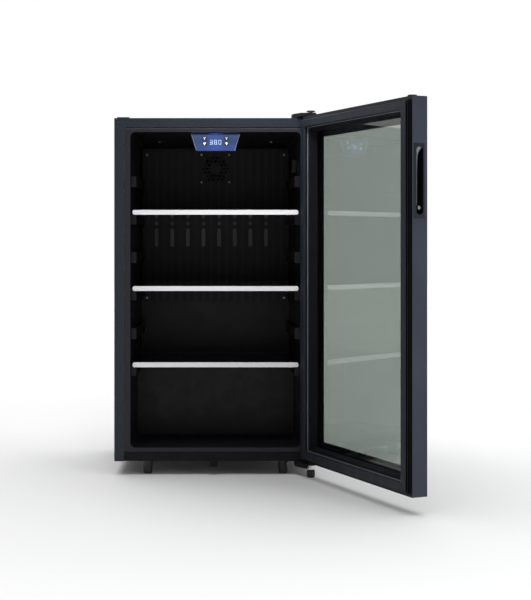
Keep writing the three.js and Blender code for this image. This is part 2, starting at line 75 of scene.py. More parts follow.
def shut_box(node):
    """(lowest corner, highest corner) of a door node with the door shut."""
    points = [UNSWING @ v.co for v in nodes[node].data.vertices]
    return (Vector([min(p[i] for p in points) for i in range(3)]),
            Vector([max(p[i] for p in points) for i in range(3)]))


FRONT = low("top_panel").y  # the cabinet's front plane
LEFT = low("left_side_panel").x
RIGHT = high("right_side_panel").x
CENTRE_X = (LEFT + RIGHT) / 2


# ---------------------------------------------------------------- materials
ROUGHNESS_SPREAD = 0.06


def new_material(name):
    material = bpy.data.materials.new(name)
    material.use_nodes = True
    return material, material.node_tree, material.node_tree.nodes["Principled BSDF"]


def coordinates(tree, stretch=(1, 1, 1)):
    place = tree.nodes.new("ShaderNodeTexCoord")
    mapping = tree.nodes.new("ShaderNodeMapping")
    mapping.inputs["Scale"].default_value = stretch
    tree.links.new(place.outputs["Object"], mapping.inputs["Vector"])
    return mapping.outputs["Vector"]


def noise(tree, scale, detail=3.0, stretch=(1, 1, 1)):
    texture = tree.nodes.new("ShaderNodeTexNoise")
    texture.inputs["Scale"].default_value = scale
    texture.inputs["Detail"].default_value = detail
    tree.links.new(coordinates(tree, stretch), texture.inputs["Vector"])
    return texture.outputs["Fac"]


def cells(tree, scale):
    texture = tree.nodes.new("ShaderNodeTexVoronoi")
    texture.feature = "SMOOTH_F1"
    texture.inputs["Scale"].default_value = scale
    tree.links.new(coordinates(tree), texture.inputs["Vector"])
    return texture.outputs["Distance"]


def spread(tree, value, low_out, high_out, low_in=0.3, high_in=0.7):
    """The value's middle range spread between two numbers."""
    node = tree.nodes.new("ShaderNodeMapRange")
    node.inputs["From Min"].default_value = low_in
    node.inputs["From Max"].default_value = high_in
    node.inputs["To Min"].default_value = low_out
    node.inputs["To Max"].default_value = high_out
    tree.links.new(value, node.inputs["Value"])
    return node.outputs["Result"]


def blend_colours(tree, factor, first, second):
    node = tree.nodes.new("ShaderNodeMix")
    node.data_type = "RGBA"
    node.inputs["A"].default_value = (*first, 1)
    node.inputs["B"].default_value = (*second, 1)
    tree.links.new(factor, node.inputs["Factor"])
    return node.outputs["Result"]


def bump(tree, shader, height, strength, distance):
    node = tree.nodes.new("ShaderNodeBump")
    node.inputs["Strength"].default_value = strength
    node.inputs["Distance"].default_value = distance
    tree.links.new(height, node.inputs["Height"])
    tree.links.new(node.outputs["Normal"], shader.inputs["Normal"])


def surface(name, colour, roughness, metallic=0.0, tint=0.12, blotch=35, grain=1400, relief=0.12,
            relief_depth=0.0002, stretch=(1, 1, 1), shine=0.5):
    """A solid finish: blotchy colour and roughness, and a fine grain in its surface."""
    material, tree, shader = new_material(name)
    dark = [c * (1 - tint) for c in colour]
    pale = [min(c * (1 + tint), 1) for c in colour]
    factor = spread(tree, noise(tree, blotch, 4, stretch), 0, 1)
    tree.links.new(blend_colours(tree, factor, dark, pale), shader.inputs["Base Color"])
    patches = noise(tree, blotch * 2.7, 3, stretch)
    uneven = spread(tree, patches, roughness - ROUGHNESS_SPREAD, roughness + ROUGHNESS_SPREAD)
    tree.links.new(uneven, shader.inputs["Roughness"])
    shader.inputs["Metallic"].default_value = metallic
    shader.inputs["Specular IOR Level"].default_value = shine
    bump(tree, shader, noise(tree, grain, 2, stretch), relief, relief_depth)
    return material


def textured_steel():
    """Dark blue-black paint over a stippled sheet."""
    material, tree, shader = new_material("textured_steel")
    pebbles = cells(tree, 430)
    speck = spread(tree, noise(tree, 520, 2), 0, 1, 0.42, 0.66)
    tree.links.new(blend_colours(tree, speck, (0.0095, 0.0128, 0.0195), (0.0195, 0.0255, 0.038)),
                   shader.inputs["Base Color"])
    tree.links.new(spread(tree, noise(tree, 260), 0.40, 0.46), shader.inputs["Roughness"])
    shader.inputs["Specular IOR Level"].default_value = 0.32
    bump(tree, shader, pebbles, 0.45, 0.0006)
    return material


def door_paint():
    """Blue-grey satin on the door's edges, and black on the faces turned to the cabinet as painted shade for
    the recess beside the gasket.
    """
    material, tree, shader = new_material("door_paint")
    factor = spread(tree, noise(tree, 9, 4), 0, 1)
    paint = blend_colours(tree, factor, (0.038, 0.043, 0.060), (0.047, 0.053, 0.073))
    normal = UNSWING.to_3x3().row[1]
    along = tree.nodes.new("ShaderNodeVectorMath")
    along.operation = "DOT_PRODUCT"
    along.inputs[1].default_value = normal
    tree.links.new(coordinates(tree), along.inputs[0])
    inner = tree.nodes.new("ShaderNodeMath")
    inner.operation = "GREATER_THAN"
    inner.inputs[1].default_value = FRONT - 12.4 * MM - UNSWING.translation.y
    tree.links.new(along.outputs["Value"], inner.inputs[0])
    # painted shade: the faces turned to the cabinet are made black
    both = tree.nodes.new("ShaderNodeMix")
    both.data_type = "RGBA"
    both.inputs["B"].default_value = (0.005, 0.005, 0.0068, 1)
    tree.links.new(inner.outputs[0], both.inputs["Factor"])
    tree.links.new(paint, both.inputs["A"])
    tree.links.new(both.outputs["Result"], shader.inputs["Base Color"])
    tree.links.new(spread(tree, noise(tree, 24), 0.36, 0.44), shader.inputs["Roughness"])
    shader.inputs["Specular IOR Level"].default_value = 0.15
    bump(tree, shader, noise(tree, 1400, 2), 0.1, 0.0002)
    return material


def liner_plastic():
    """Near-black satin sheet, paler at its front flange and darker further in: painted light on the flange
    and painted shade inside.
    """
    material, tree, shader = new_material("liner_plastic")
    separate = tree.nodes.new("ShaderNodeSeparateXYZ")
    tree.links.new(coordinates(tree), separate.inputs["Vector"])
    # painted light and shade: pale at the front flange, darker from 3 to 10 mm into the liner
    depth = spread(tree, separate.outputs["Y"], 0, 1, FRONT + 3 * MM, FRONT + 10 * MM)
    tree.links.new(blend_colours(tree, depth, (0.019, 0.0175, 0.023), (0.0085, 0.0075, 0.0100)),
                   shader.inputs["Base Color"])
    tree.links.new(spread(tree, noise(tree, 60), 0.32, 0.44), shader.inputs["Roughness"])
    shader.inputs["Specular IOR Level"].default_value = 0.2
    bump(tree, shader, noise(tree, 55, 3), 0.05, 0.002)
    return material


def duct_plastic():
    """Stippled black, paler on the ridges that run up the cover beside and between the slots, a painted
    highlight where the ridges catch light.
    """
    material, tree, shader = new_material("duct_plastic")
    separate = tree.nodes.new("ShaderNodeSeparateXYZ")
    tree.links.new(coordinates(tree), separate.inputs["Vector"])
    wave = tree.nodes.new("ShaderNodeMath")
    wave.operation = "MULTIPLY_ADD"
    wave.inputs[1].default_value = 2 * math.pi / RIDGE_PITCH
    wave.inputs[2].default_value = -2 * math.pi * (CENTRE_X + RIDGE_START) / RIDGE_PITCH
    tree.links.new(separate.outputs["X"], wave.inputs[0])
    cosine = tree.nodes.new("ShaderNodeMath")
    cosine.operation = "COSINE"
    tree.links.new(wave.outputs[0], cosine.inputs[0])
    # painted highlight: the ridges are made paler than the grooves between them
    ridge = spread(tree, cosine.outputs[0], 0.0, 1.0, 0.1, 0.9)
    tree.links.new(blend_colours(tree, ridge, (0.0060, 0.0056, 0.0070), (0.0130, 0.0122, 0.0155)),
                   shader.inputs["Base Color"])
    tree.links.new(spread(tree, noise(tree, 300, 3), 0.38, 0.55), shader.inputs["Roughness"])
    shader.inputs["Specular IOR Level"].default_value = 0.2
    bump(tree, shader, noise(tree, 420, 3), 0.35, 0.0006)
    return material


def insert_plastic():
    """The handle insert: dark plastic, made black inside its finger slot as painted shade."""
    material, tree, shader = new_material("insert_plastic")
    along = tree.nodes.new("ShaderNodeVectorMath")
    along.operation = "DOT_PRODUCT"
    along.inputs[1].default_value = UNSWING.to_3x3().row[0]
    tree.links.new(coordinates(tree), along.inputs[0])
    face = shut_box("handle_insert")[0].x - UNSWING.translation.x
    # painted shade: darker deeper into the finger slot
    inner = spread(tree, along.outputs["Value"], 0, 1, face + 0.5 * MM, face + 2.5 * MM)
    tree.links.new(blend_colours(tree, inner, (0.013, 0.016, 0.023), (0.005, 0.005, 0.006)),
                   shader.inputs["Base Color"])
    tree.links.new(spread(tree, noise(tree, 40), 0.34, 0.46), shader.inputs["Roughness"])
    shader.inputs["Specular IOR Level"].default_value = 0.3
    bump(tree, shader, noise(tree, 1300, 2), 0.12, 0.0002)
    return material


def clear_glass(name, colour, smudge=0.05):
    material, tree, shader = new_material(name)
    shader.inputs["Base Color"].default_value = (*colour, 1)
    shader.inputs["Transmission Weight"].default_value = 1.0
    shader.inputs["IOR"].default_value = 1.5
    tree.links.new(spread(tree, noise(tree, 7, 4), 0.0, smudge, 0.52, 0.8), shader.inputs["Roughness"])
    return material


def glowing(name, colour, strength, base=(0.6, 0.65, 0.8)):
    material, tree, shader = new_material(name)
    shader.inputs["Base Color"].default_value = (*base, 1)
    factor = spread(tree, noise(tree, 160, 2), 0, 1)
    shaded = [c * 0.85 for c in colour]
    tree.links.new(blend_colours(tree, factor, shaded, colour), shader.inputs["Emission Color"])
    shader.inputs["Emission Strength"].default_value = strength
    shader.inputs["Roughness"].default_value = 0.3
    return material


def lamp_blue():
    """A dim blue lens, brightest at its middle."""
    material, tree, shader = new_material("lamp_blue")
    separate = tree.nodes.new("ShaderNodeSeparateXYZ")
    tree.links.new(coordinates(tree), separate.inputs["Vector"])
    off_centre = tree.nodes.new("ShaderNodeMath")
    off_centre.operation = "SUBTRACT"
    off_centre.inputs[1].default_value = middle("lamp_lens").x
    tree.links.new(separate.outputs["X"], off_centre.inputs[0])
    distance = tree.nodes.new("ShaderNodeMath")
    distance.operation = "ABSOLUTE"
    tree.links.new(off_centre.outputs[0], distance.inputs[0])
    strength = spread(tree, distance.outputs[0], 0.12, 0.01, 2 * MM, 18 * MM)
    tree.links.new(strength, shader.inputs["Emission Strength"])
    tree.links.new(blend_colours(tree, noise(tree, 200), (0.10, 0.14, 0.80), (0.14, 0.20, 0.95)),
                   shader.inputs["Emission Color"])
    shader.inputs["Base Color"].default_value = (0.01, 0.015, 0.08, 1)
    shader.inputs["Roughness"].default_value = 0.25
    return material


def display_blue():
    """A back-lit blue window, brightest below its dark top edge, with a glow across its middle."""
    material, tree, shader = new_material("display_blue")
    separate = tree.nodes.new("ShaderNodeSeparateXYZ")
    tree.links.new(coordinates(tree), separate.inputs["Vector"])
    bottom, top = low("display_panel").z, high("display_panel").z
    up = spread(tree, separate.outputs["Z"], 0, 1, bottom, top)
    ramp = tree.nodes.new("ShaderNodeValToRGB")
    ramp.color_ramp.elements[0].color = (0.022, 0.038, 0.115, 1)
    ramp.color_ramp.elements[1].color = (0.003, 0.006, 0.045, 1)
    for position, colour in ((0.4, (0.040, 0.064, 0.145, 1)), (0.90, (0.070, 0.115, 0.21, 1)),
                             (0.955, (0.004, 0.008, 0.05, 1))):
        ramp.color_ramp.elements.new(position).color = colour
    tree.links.new(up, ramp.inputs["Fac"])
    glow = tree.nodes.new("ShaderNodeMix")
    glow.data_type = "RGBA"
    glow.blend_type = "ADD"
    glow.inputs["B"].default_value = (0.012, 0.020, 0.16, 1)
    centre = middle("display_panel").x
    right = spread(tree, separate.outputs["X"], 1, 0, centre + 2 * MM, centre + 30 * MM)
    left = spread(tree, separate.outputs["X"], 0, 1, centre - 30 * MM, centre - 2 * MM)
    both = tree.nodes.new("ShaderNodeMath")
    both.operation = "MULTIPLY"
    tree.links.new(right, both.inputs[0])
    tree.links.new(left, both.inputs[1])
    tree.links.new(both.outputs[0], glow.inputs["Factor"])
    tree.links.new(ramp.outputs["Color"], glow.inputs["A"])
    tree.links.new(glow.outputs["Result"], shader.inputs["Emission Color"])
    shader.inputs["Emission Strength"].default_value = 0.68
    shader.inputs["Base Color"].default_value = (0.02, 0.035, 0.12, 1)
    tree.links.new(spread(tree, noise(tree, 60), 0.08, 0.16), shader.inputs["Roughness"])
    return material


RIDGE_PITCH = 20.475 * MM
RIDGE_START = -154.3 * MM  # the first column of slots, from the cabinet's middle
MATERIALS = {
    "steel": textured_steel(),
    "base_steel": surface("base_steel", (0.02, 0.021, 0.024), 0.45, 0.3, grain=700, relief=0.2),
    "beam": surface("beam", (0.0065, 0.0065, 0.007), 0.6, shine=0.15),
    "liner": liner_plastic(),
    # painted highlight: the bead is the liner's plastic made paler
    "bead": surface("bead", (0.040, 0.041, 0.052), 0.35, relief=0.1),
    "duct": duct_plastic(),
    "dark_plastic": surface("dark_plastic", (0.009, 0.0092, 0.0105), 0.5, relief=0.2, shine=0.3),
    "insert": insert_plastic(),
    # painted highlight: the scoop is far paler than the insert's own plastic
    "scoop": surface("scoop", (0.13, 0.145, 0.18), 0.3, tint=0.3, blotch=120, relief=0.1),
    "key": surface("key", (0.008, 0.012, 0.04), 0.3, relief=0.1),
    "black_plastic": surface("black_plastic", (0.009, 0.009, 0.010), 0.38, shine=0.35),
    "rotor": surface("rotor", (0.008, 0.008, 0.009), 0.42, shine=0.25),
    "foam": surface("foam", (0.72, 0.62, 0.35), 0.85, grain=420, relief=0.6, relief_depth=0.001),
    "evaporator": surface("evaporator", (0.10, 0.10, 0.11), 0.55, 0.9, stretch=(1, 1, 12), relief=0.15),
    "shelf_trim": surface("shelf_trim", (0.70, 0.69, 0.71), 0.3, tint=0.05, stretch=(0.05, 1, 1),
                          grain=900),
    "hinge": surface("hinge", (0.010, 0.0085, 0.0095), 0.6, grain=800, relief=0.2, shine=0.12),
    "pin": surface("pin", (0.05, 0.052, 0.060), 0.45, 0.6, grain=500, relief=0.2, stretch=(1, 1, 0.2)),
    "zinc": surface("zinc", (0.72, 0.71, 0.70), 0.28, 1.0, blotch=160, tint=0.2),
    "screw": surface("screw", (0.42, 0.41, 0.40), 0.3, 0.9, blotch=400),
    "copper": surface("copper", (0.75, 0.35, 0.22), 0.3, 1.0, blotch=90, tint=0.25),
    "compressor": surface("compressor", (0.009, 0.009, 0.010), 0.32, 0.2, grain=500, relief=0.18),
    "board": surface("board", (0.015, 0.10, 0.035), 0.45, grain=500, relief=0.4),
    "foot": surface("foot", (0.0075, 0.0075, 0.008), 0.2, grain=500, relief=0.05, shine=0.45),
    "door_frame": door_paint(),
    "gasket": surface("gasket", (0.012, 0.0155, 0.023), 0.5, tint=0.1, blotch=20, grain=900,
                      relief=0.15, shine=0.2),
    # painted shade: near-black for the gasket's folds and other shaded spots
    "gasket_fold": surface("gasket_fold", (0.005, 0.005, 0.0065), 0.65, blotch=20, grain=900,
                           relief=0.15, shine=0.1),
    # painted highlight: the gasket's lip is made far paler than the rest of the rubber
    "gasket_lip_painted_highlight": surface("gasket_lip_painted_highlight", (0.15, 0.16, 0.18), 0.35, tint=0.15, blotch=30, grain=900,
                          relief=0.1),
    "inner_trim": surface("inner_trim", (0.0070, 0.0073, 0.0090), 0.55, relief=0.15, shine=0.1),
    "frit": surface("frit", (0.006, 0.0052, 0.0052), 0.35, grain=2200, shine=0.2),
    "spacer": surface("spacer", (0.008, 0.008, 0.0085), 0.5, grain=900, shine=0.15),
    "aluminium": surface("aluminium", (0.75, 0.74, 0.73), 0.35, 0.8, grain=900),
    # partly painted reflection: dark perforations whose reddish tint is a painted reflection
    "vent": surface("vent", (0.10, 0.07, 0.07), 0.4, 0.3, grain=900),
    "door_glass": clear_glass("door_glass", (0.545, 0.585, 0.555)),
    "shelf_glass": clear_glass("shelf_glass", (0.12, 0.14, 0.14), 0.08),
    "display": display_blue(),
    "digits": glowing("digits", (0.55, 0.80, 0.95), 0.7),
    "glyph": glowing("glyph", (0.85, 0.93, 1.0), 1.0),
    "lamp": lamp_blue(),
}


# ---------------------------------------------------------------- mesh helpers
SMOOTH_ANGLE = math.radians(40)  # edges softer than this are shaded smooth
BEVEL_ANGLE = math.radians(32)  # edges sharper than this are rounded
WELD_DISTANCE = 2e-6


def smoothing_group():
    """Geometry nodes that shade smooth across all but the sharp edges."""
    group = bpy.data.node_groups.new("smooth_by_angle", "GeometryNodeTree")
    group.interface.new_socket("Geometry", in_out="INPUT", socket_type="NodeSocketGeometry")
    group.interface.new_socket("Geometry", in_out="OUTPUT", socket_type="NodeSocketGeometry")
    enter = group.nodes.new("NodeGroupInput")
    leave = group.nodes.new("NodeGroupOutput")
    faces = group.nodes.new("GeometryNodeSetShadeSmooth")
    edges = group.nodes.new("GeometryNodeSetShadeSmooth")
    edges.domain = "EDGE"
    edges.inputs["Shade Smooth"].default_value = False
    angle = group.nodes.new("GeometryNodeInputMeshEdgeAngle")
    sharp = group.nodes.new("ShaderNodeMath")
    sharp.operation = "GREATER_THAN"
    sharp.inputs[1].default_value = SMOOTH_ANGLE
    group.links.new(angle.outputs["Unsigned Angle"], sharp.inputs[0])
    group.links.new(sharp.outputs[0], edges.inputs["Selection"])
    group.links.new(enter.outputs[0], faces.inputs["Geometry"])
    group.links.new(faces.outputs[0], edges.inputs["Geometry"])
    group.links.new(edges.outputs[0], leave.inputs[0])
    return group


SMOOTHING = smoothing_group()


def soften(obj, width, segments=2, weld=True):
    """Rounds the sharp edges, and shades the flats flat and the rounds round."""
    if weld:
        joined = obj.modifiers.new("weld", "WELD")
        joined.merge_threshold = WELD_DISTANCE
    if width:
        bevel = obj.modifiers.new("bevel", "BEVEL")
        bevel.width = width
        bevel.segments = segments
        bevel.limit_method = "ANGLE"
        bevel.angle_limit = BEVEL_ANGLE
    smooth = obj.modifiers.new("smooth", "NODES")
    smooth.node_group = SMOOTHING
    weighted = obj.modifiers.new("weighted", "WEIGHTED_NORMAL")
    weighted.keep_sharp = True


def dress(names, material, width=0.0, segments=2):
    """A finish and softened edges for CAD nodes whose shape stays."""
    for name in names:
        obj = nodes[name]
        obj.data.materials.clear()
        obj.data.materials.append(MATERIALS[material])
        soften(obj, width, segments)


def piece(name, bm, material, body, matrix=None, replaces=(), width=0.0, segments=2):
    """A new piece from a bmesh, riding on a body."""
    bmesh.ops.recalc_face_normals(bm, faces=bm.faces)
    mesh = bpy.data.meshes.new(name)
    bm.to_mesh(mesh)
    bm.free()
    if isinstance(material, tuple):
        for key in material:
            mesh.materials.append(MATERIALS[key])
    return mesh_piece(name, mesh, material, body, matrix, replaces, width, segments)


def mesh_piece(name, mesh, material, body, matrix=None, replaces=(), width=0.0, segments=2):
    obj = bpy.data.objects.new(name, mesh)
    scene.collection.objects.link(obj)
    if not mesh.materials:
        mesh.materials.append(MATERIALS[material])
    if matrix is not None:
        obj.matrix_world = matrix
    soften(obj, width, segments, weld=False)
    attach(obj, body)
    if replaces:
        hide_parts(*replaces)
    return obj


def add_box(bm, a, b):
    a, b = Vector(a), Vector(b)
    placed = Matrix.Translation((a + b) / 2) @ Matrix.Diagonal((*(b - a), 1))
    bmesh.ops.create_cube(bm, size=1, matrix=placed)


def in_mm(profile):
    """A profile given in mm, in metres."""
    return [(radius * MM, height * MM) for radius, height in profile]


def add_turned(bm, profile, matrix=Matrix.Identity(4), segments=48):
    """A body of revolution round z from (radius, height) points that start and end on the axis."""
    rings = []
    for radius, height in profile:
        count = segments if radius > 1e-9 else 1
        rings.append([
            bm.verts.new(matrix @ Vector((radius * math.cos(2 * math.pi * k / count),
                                          radius * math.sin(2 * math.pi * k / count), height)))
            for k in range(count)])
    for below, above in zip(rings, rings[1:]):
        for k in range(segments):
            ring = [below[k % len(below)], below[(k + 1) % len(below)],
                    above[(k + 1) % len(above)], above[k % len(above)]]
            corners = list(dict.fromkeys(ring))
            if len(corners) > 2:
                bm.faces.new(corners)


def add_prism(bm, outline, y0, y1):
    """An outline of (x, z) points made solid from y0 to y1."""
    front = [bm.verts.new((x, y0, z)) for x, z in outline]
    back = [bm.verts.new((x, y1, z)) for x, z in outline]
    bm.faces.new(front)
    bm.faces.new(back[::-1])
    count = len(outline)
    for i in range(count):
        j = (i + 1) % count
        bm.faces.new([front[i], back[i], back[j], front[j]])


def add_ring_frame(bm, corner_low, corner_high, outer, inner, y0, y1):
    """A flat rectangular frame in the xz plane, inset by outer and inner from a rectangle."""
    loops = []
    for inset in (outer, inner):
        xs = (corner_low.x + inset, corner_high.x - inset)
        zs = (corner_low.z + inset, corner_high.z - inset)
        for y in (y0, y1):
            loops.append([bm.verts.new((x, y, z)) for x, z in
                          ((xs[0], zs[0]), (xs[1], zs[0]), (xs[1], zs[1]), (xs[0], zs[1]))])
    order = (0, 1, 3, 2)
    for a, b in zip(order, order[1:] + order[:1]):
        for i in range(4):
            j = (i + 1) % 4
            bm.faces.new([loops[a][i], loops[a][j], loops[b][j], loops[b][i]])


def add_mitred(bm, section, corner_low, corner_high, tags=None):
    """A closed section of (inset, y) points swept round a rectangle, with mitred corners."""
    loops = []
    for right, up in ((False, False), (True, False), (True, True), (False, True)):
        loop = []
        for inset, y in section:
            x = corner_high.x - inset if right else corner_low.x + inset
            z = corner_high.z - inset if up else corner_low.z + inset
            loop.append(bm.verts.new((x, y, z)))
        loops.append(loop)
    for side in range(4):
        here, there = loops[side], loops[(side + 1) % 4]
        for i in range(len(section)):
            j = (i + 1) % len(section)
            face = bm.faces.new([here[i], there[i], there[j], here[j]])
            if tags:
                face.material_index = tags[i]


def screw_mesh(name, radius, height):
    """A domed head with a cross recess, its seat at z = 0."""
    head = bmesh.new()
    dome = [(0, -height * 0.1), (radius, -height * 0.1), (radius, height * 0.35),
            (radius * 0.86, height * 0.75), (radius * 0.5, height), (0, height * 1.06)]
    add_turned(head, dome, segments=24)
    cross = bmesh.new()
    reach, thick = radius * 0.55, radius * 0.14
    add_box(cross, (-reach, -thick, height * 0.45), (reach, thick, height * 2))
    add_box(cross, (-thick, -reach, height * 0.45), (thick, reach, height * 2))
    return carved(name, head, cross)


def carved(name, body, tool):
    """The mesh of one bmesh cut by another."""
    parts = []
    for label, bm in (("body", body), ("tool", tool)):
        bmesh.ops.recalc_face_normals(bm, faces=bm.faces)
        mesh = bpy.data.meshes.new(name + "_" + label)
        bm.to_mesh(mesh)
        bm.free()
        part = bpy.data.objects.new(name + "_" + label, mesh)
        scene.collection.objects.link(part)
        parts.append(part)
    cut = parts[0].modifiers.new("cut", "BOOLEAN")
    cut.operation = "DIFFERENCE"
    cut.solver = "EXACT"
    cut.use_self = True
    cut.object = parts[1]
    evaluated = parts[0].evaluated_get(bpy.context.evaluated_depsgraph_get())
    result = bpy.data.meshes.new_from_object(evaluated)
    result.name = name
    for part in parts:
        bpy.data.objects.remove(part)
    return result


SCREW = screw_mesh("pan_screw", 3.4 * MM, 1.8 * MM)
BIG_SCREW = screw_mesh("large_screw", 5.2 * MM, 2.4 * MM)
FLAT_SCREW = screw_mesh("flat_screw", 3.6 * MM, 1.4 * MM)
# Turns for pieces drawn along +z, by the direction they are to face.
FACING = {
    "-y": Matrix.Rotation(math.radians(90), 4, "X"),
    "+y": Matrix.Rotation(math.radians(-90), 4, "X"),
    "+z": Matrix.Identity(4),
    "-z": Matrix.Rotation(math.radians(180), 4, "X"),
    "-x": Matrix.Rotation(math.radians(-90), 4, "Y"),
}


def screws(name, mesh, material, places, facing, body, placed=Matrix.Identity(4)):
    """Screw heads at the places, each with its recess turned differently."""
    for i, place in enumerate(places):
        turn = Matrix.Rotation(math.radians(17 + 31 * i), 4, "Z")
        matrix = placed @ Matrix.Translation(place) @ FACING[facing] @ turn
        mesh_piece(f"{name}_{i + 1}", mesh, material, body, matrix)


# ---------------------------------------------------------------- cabinet
KEYS = ("left_up_key", "left_down_key", "right_up_key", "right_down_key")
FAN_SCREWS = (36.5 * MM, 36 * MM)  # across and up from the fan's middle
HINGE_SCREWS = ((12, 12), (43, 12), (27, 38))  # mm from the bracket's left edge, mm from its rear edge
CEILING_SCREW_X = 141 * MM  # from the cabinet's middle
CEILING_SCREW_Y = 200 * MM  # behind the cabinet's front
UNDER_CEILING = 250 * MM  # above the liner's middle, still inside it


def dress_cabinet():
    dress(["left_side_panel", "right_side_panel", "top_panel"], "steel", 0.8 * MM, 3)
    dress(["back_panel"], "steel", 0.3 * MM)
    dress(["base_plate"], "base_steel", 0.3 * MM)
    dress(["front_beam"], "beam", 0.5 * MM)
    dress(["beam_clip", "hinge_hole_cap"], "beam", 0.8 * MM, 3)
    dress(["inner_liner"], "liner", 1.2 * MM, 3)
    dress(["duct_cover"], "duct", 0.5 * MM)
    dress(["foam_insulation"], "foam")
    dress(["fan_frame", "fan_rotor"], "rotor", 0.4 * MM)
    dress(["evaporator"], "evaporator", 0.6 * MM)
    dress(["condenser_coil"], "black_plastic", 1.0 * MM)
    dress(["control_board"], "board", 0.2 * MM)
    dress(["temperature_sensor", "display_housing"], "dark_plastic", 1.0 * MM, 3)
    dress(["display_panel"], "display", 0.3 * MM)
    dress(KEYS, "key", 0.6 * MM, 3)
    dress(["lamp_lens"], "lamp", 0.3 * MM)
    dress(["upper_hinge_bracket", "lower_hinge_bracket"], "hinge", 0.5 * MM, 3)
    dress(["hinge_nut"], "zinc", 0.8 * MM, 3)
    dress(["lower_hinge_pin"], "zinc", 0.4 * MM)
    for level in ("lower", "middle", "upper"):
        dress([level + "_shelf_pane"], "shelf_glass", 0.5 * MM)
        dress([level + "_shelf_trim"], "shelf_trim", 0.9 * MM, 3)


def add_cabinet_screws():
    duct_low, duct_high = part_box("duct_cover")
    face = duct_low.y + 1.2 * MM
    corners = [(x, face, z) for x in (duct_low.x + 11 * MM, duct_high.x - 11 * MM)
               for z in (duct_low.z + 10 * MM, duct_high.z - 12 * MM)]
    fan = middle("fan_rotor")
    across, up = FAN_SCREWS
    fan_corners = [(fan.x + dx, face, fan.z + dz) for dx in (-across, across) for dz in (-up, up)]
    screws("duct_screw", SCREW, "screw", corners + fan_corners, "-y", "cabinet")
    bracket_low, bracket_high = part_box("upper_hinge_bracket")
    hinge_screws = [(bracket_low.x + dx * MM, bracket_high.y - dy * MM, bracket_high.z)
                    for dx, dy in HINGE_SCREWS]
    screws("upper_hinge_screw", BIG_SCREW, "zinc", hinge_screws, "+z", "cabinet")
    liner = nodes["inner_liner"]
    to_liner = liner.matrix_world.inverted()
    ceiling = []
    for x in (-CEILING_SCREW_X, CEILING_SCREW_X):
        below = Vector((CENTRE_X + x, FRONT + CEILING_SCREW_Y, middle("inner_liner").z + UNDER_CEILING))
        place = liner.ray_cast(to_liner @ below, (0, 0, 1))[1]
        ceiling.append(liner.matrix_world @ place)
    screws("ceiling_screw", SCREW, "screw", ceiling, "-z", "cabinet")
    panel_low, panel_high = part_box("back_panel")
    back = panel_high.y - 0.2 * MM
    around = [(x, back, z) for x in (panel_low.x + 9 * MM, panel_high.x - 9 * MM)
              for z in (panel_low.z + 12 * MM, middle("back_panel").z, panel_high.z - 9 * MM)]
    around += [(CENTRE_X, back, z) for z in (panel_low.z + 12 * MM, panel_high.z - 9 * MM)]
    screws("back_screw", FLAT_SCREW, "screw", around, "+y", "cabinet")


def add_top_painted_shadow_and_bead():
    """A black strip under the top panel's front edge, painted shadow where the panel overhangs the liner, and
    the raised bead of the liner below it, paler than the liner as a painted highlight.
    """
    liner_low, liner_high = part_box("inner_liner")
    y0, y1 = FRONT + 0.35 * MM, FRONT + 0.97 * MM
    x0, x1, top = liner_low.x + 1 * MM, liner_high.x - 1 * MM, liner_high.z
    # painted shadow: a black strip under the top panel's edge
    seam = bmesh.new()
    add_box(seam, (x0, y0 + 0.3 * MM, top - 2.4 * MM), (x1, y1, top - 0.2 * MM))
    piece("top_painted_shadow", seam, "gasket_fold", "cabinet")
    # the bead's pale finish is a painted highlight
    bead = bmesh.new()
    add_box(bead, (x0, y0, top - 4.4 * MM), (x1, y1, top - 2.6 * MM))
    piece("liner_bead", bead, "bead", "cabinet", width=0.3 * MM, segments=3)


# ---------------------------------------------------------------- display
READOUT = "380"
# The lit bars of each figure; a is the top one, g the middle one, the others run clockwise from a.
SEGMENTS = {"3": "abcdg", "8": "abcdefg", "0": "abcdef"}


def add_digit(bm, digit, x, z, width, height, y0, y1):
    """A seven-segment figure with its lower left corner at (x, z)."""
    half = height / 2
    t = width * 0.2
    bars = {
        "a": ((x, z + height - t), (x + width, z + height)),
        "b": ((x + width - t, z + half), (x + width, z + height)),
        "c": ((x + width - t, z), (x + width, z + half)),
        "d": ((x, z), (x + width, z + t)),
        "e": ((x, z), (x + t, z + half)),
        "f": ((x, z + half), (x + t, z + height)),
        "g": ((x, z + half - t / 2), (x + width, z + half + t / 2)),
    }
    for name in SEGMENTS[digit]:
        (x0, z0), (x1, z1) = bars[name]
        gap = t * 0.12
        add_box(bm, (x0 + gap, y0, z0 + gap), (x1 - gap, y1, z1 - gap))


# Plain marks on the keys, as (x, z) outlines in mm from the key's middle.
KEY_MARKS = {
    "up": [[(-3.2, 3.0), (-1.7, 3.0), (0, 0.9), (1.7, 3.0), (3.2, 3.0), (0.8, -0.3), (-0.8, -0.3)],
           [(-0.8, -0.45), (0.8, -0.45), (0.8, -3.0), (-0.8, -3.0)]],
    "down": [[(-3.3, 3.0), (3.3, 3.0), (3.3, 1.4), (0.9, -0.2), (-0.9, -0.2), (-3.3, 1.4)],
             [(-0.9, -0.35), (0.9, -0.35), (0.9, -3.0), (-0.9, -3.0)]],
}


def add_display_edges():
    """A bright thin edge down each sloping side of the display window."""
    panel = nodes["display_panel"].data.vertices
    panel_low, panel_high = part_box("display_panel")
    front = [v.co for v in panel if v.co.y < panel_low.y + 0.1 * MM]
    edges = bmesh.new()
    for side in (-1, 1):
        lower = max((p for p in front if p.z < panel_low.z + MM), key=lambda p: side * p.x)
        upper = max((p for p in front if p.z > panel_high.z - MM), key=lambda p: side * p.x)
        inner, outer = side * -0.9 * MM, side * -0.1 * MM
        outline = [(lower.x + inner, lower.z + MM), (lower.x + outer, lower.z + MM),
                   (upper.x + outer, upper.z - MM), (upper.x + inner, upper.z - MM)]
        add_prism(edges, outline, panel_low.y - 0.3 * MM, panel_low.y - 0.02 * MM)
    piece("display_edges", edges, "aluminium", "cabinet")


